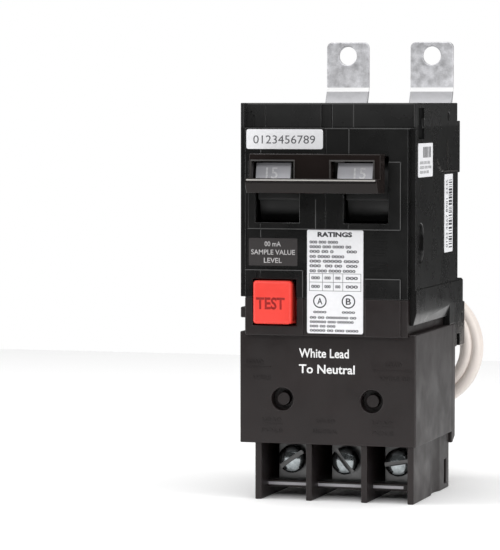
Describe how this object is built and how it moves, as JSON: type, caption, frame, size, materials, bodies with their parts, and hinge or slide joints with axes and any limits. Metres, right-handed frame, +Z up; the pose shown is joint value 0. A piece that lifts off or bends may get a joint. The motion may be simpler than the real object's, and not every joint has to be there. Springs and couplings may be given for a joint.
{
  "type": "ground-fault circuit breaker",
  "caption": "Bolt-on ground-fault circuit breaker: tied toggle handles, red test button, drilled line tabs, screw lugs below and a coiled white neutral pigtail behind.",
  "frame": {"origin": "under the middle of the footprint, on the plane of the barrier legs' lower edges, pigtail left out", "axes": "+Z up from the load lugs to the line tabs, -Y towards the handles, +X to the right as one faces the handles"},
  "size_m": [0.0545, 0.0878, 0.129],
  "materials": {
    "case_black": "satin moulded thermoset",
    "module_brown": "satin moulded thermoset",
    "handle_black": "moulded, low gloss",
    "face_grey": "printed grey",
    "tie_gloss": "glossy moulding",
    "button_red": "moulded, soft gloss",
    "tin_plate": "dull tin plate",
    "lug_metal": "plated",
    "screw_zinc": "bright zinc plate",
    "plate_steel": "zinc plate",
    "steel": "plain",
    "copper": "copper",
    "contact_silver": "silver alloy",
    "trip_plastic": "moulded",
    "board_green": "solder mask",
    "component_dark": "moulded",
    "ferrite": "coated core",
    "lead_insulation": "insulated wire",
    "wire_white": "insulated wire",
    "bushing_nylon": "moulded",
    "label_paper": "printed label stock"
  },
  "bodies": {
    "case": {"arc_chutes": "steel", "board_components": "component_dark", "case_rivets": "steel", "circuit_board": "board_green", "fixed_contacts": "contact_silver", "handle_pivot_pins": "steel", "left_bimetal": "steel", "left_flex_braid": "copper", "left_line_tab": "tin_plate", "left_load_lug": "lug_metal", "left_main_spring": "steel", "left_mechanism_frame": "steel", "left_pole_base": "case_black", "left_pole_cover": "case_black", "load_leads": "lead_insulation", "load_module_back": "module_brown", "load_module_housing": "module_brown", "magnet_yokes": "steel", "mechanism_pins": "steel", "neutral_lead": "wire_white", "neutral_load_lug": "lug_metal", "pigtail_bushing": "bushing_nylon", "pigtail_coil": "wire_white", "pigtail_lead": "wire_white", "pigtail_tip": "copper", "printed_labels": "label_paper", "right_bimetal": "steel", "right_flex_braid": "copper", "right_line_tab": "tin_plate", "right_load_lug": "lug_metal", "right_main_spring": "steel", "right_mechanism_frame": "steel", "right_pole_base": "case_black", "right_pole_cover": "case_black", "sensor_toroid": "ferrite", "solenoid_coil": "copper", "solenoid_frame": "steel", "test_contact": "copper", "test_spring": "steel"},
    "handles": {"left_handle": "handle_black", "right_handle": "handle_black", "rating_faces": "face_grey", "handle_tie": "tie_gloss"},
    "contact_arms": {"left_contact_arm": "copper", "right_contact_arm": "copper", "moving_contacts": "contact_silver"},
    "cradles": {"left_cradle": "steel", "right_cradle": "steel"},
    "armatures": {"armatures": "steel"},
    "trip_bar": {"trip_bar": "trip_plastic"},
    "solenoid_plunger": {"solenoid_plunger": "steel"},
    "test_button": {"test_button": "button_red"},
    "left_clamp": {"left_clamp_plate": "plate_steel"},
    "left_screw": {"left_terminal_screw": "screw_zinc"},
    "neutral_clamp": {"neutral_clamp_plate": "plate_steel"},
    "neutral_screw": {"neutral_terminal_screw": "screw_zinc"},
    "right_clamp": {"right_clamp_plate": "plate_steel"},
    "right_screw": {"right_terminal_screw": "screw_zinc"}
  },
  "joints": [
    {"name": "handle_toggle", "type": "hinge", "parent": "case", "child": "handles", "pos_m": [-0.0008, -0.0085, 0.086], "axis": [1, 0, 0], "range_deg": [0, 30]},
    {"name": "contact_arm_swing", "type": "hinge", "parent": "case", "child": "contact_arms", "pos_m": [0, 0.0025, 0.078], "axis": [1, 0, 0], "range_deg": [0, 20], "deforming": ["left_main_spring", "right_main_spring", "left_flex_braid", "right_flex_braid"]},
    {"name": "trip_bar_turn", "type": "hinge", "parent": "case", "child": "trip_bar", "pos_m": [0, -0.0055, 0.065], "axis": [1, 0, 0], "range_deg": [0, 8.03]},
    {"name": "plunger_strike", "type": "slide", "parent": "case", "child": "solenoid_plunger", "axis": [0, 0, 1], "range_m": [0, 0.0014], "stiffness_N_per_m": 150, "springref_m": -0.001},
    {"name": "cradle_release", "type": "hinge", "parent": "case", "child": "cradles", "pos_m": [0, 0.0175, 0.067], "axis": [1, 0, 0], "range_deg": [0, 7.03]},
    {"name": "armature_pull", "type": "hinge", "parent": "case", "child": "armatures", "pos_m": [0, 0.0088, 0.066], "axis": [1, 0, 0], "range_deg": [-4.02, 0]},
    {"name": "test_press", "type": "slide", "parent": "case", "child": "test_button", "axis": [0, 1, 0], "range_m": [0, 0.0015], "stiffness_N_per_m": 600, "springref_m": -0.001, "deforming": ["test_spring"]},
    {"name": "left_clamp_travel", "type": "slide", "parent": "case", "child": "left_clamp", "axis": [0, 1, 0], "range_m": [-0.00125, 0.0013]},
    {"name": "left_screw_turn", "type": "hinge", "parent": "left_clamp", "child": "left_screw", "pos_m": [-0.013, -0.0145, 0.0106], "axis": [0, 1, 0], "range_deg": [-563.5, 586]},
    {"name": "neutral_clamp_travel", "type": "slide", "parent": "case", "child": "neutral_clamp", "axis": [0, 1, 0], "range_m": [-0.00125, 0.0013]},
    {"name": "neutral_screw_turn", "type": "hinge", "parent": "neutral_clamp", "child": "neutral_screw", "pos_m": [0.0025, -0.0145, 0.0106], "axis": [0, 1, 0], "range_deg": [-563.5, 586]},
    {"name": "right_clamp_travel", "type": "slide", "parent": "case", "child": "right_clamp", "axis": [0, 1, 0], "range_m": [-0.00125, 0.0013]},
    {"name": "right_screw_turn", "type": "hinge", "parent": "right_clamp", "child": "right_screw", "pos_m": [0.018, -0.0145, 0.0106], "axis": [0, 1, 0], "range_deg": [-563.5, 586]}
  ],
  "couplings": [
    {"joint": "contact_arm_swing", "follows": "handle_toggle", "ratio": 0.6666},
    {"joint": "trip_bar_turn", "follows": "plunger_strike", "rad_per_m": 100},
    {"joint": "cradle_release", "follows": "plunger_strike", "rad_per_m": 87.5},
    {"joint": "armature_pull", "follows": "plunger_strike", "rad_per_m": -50},
    {"joint": "left_screw_turn", "follows": "left_clamp_travel", "rad_per_m": 7854},
    {"joint": "neutral_screw_turn", "follows": "neutral_clamp_travel", "rad_per_m": 7854},
    {"joint": "right_screw_turn", "follows": "right_clamp_travel", "rad_per_m": 7854}
  ]
}
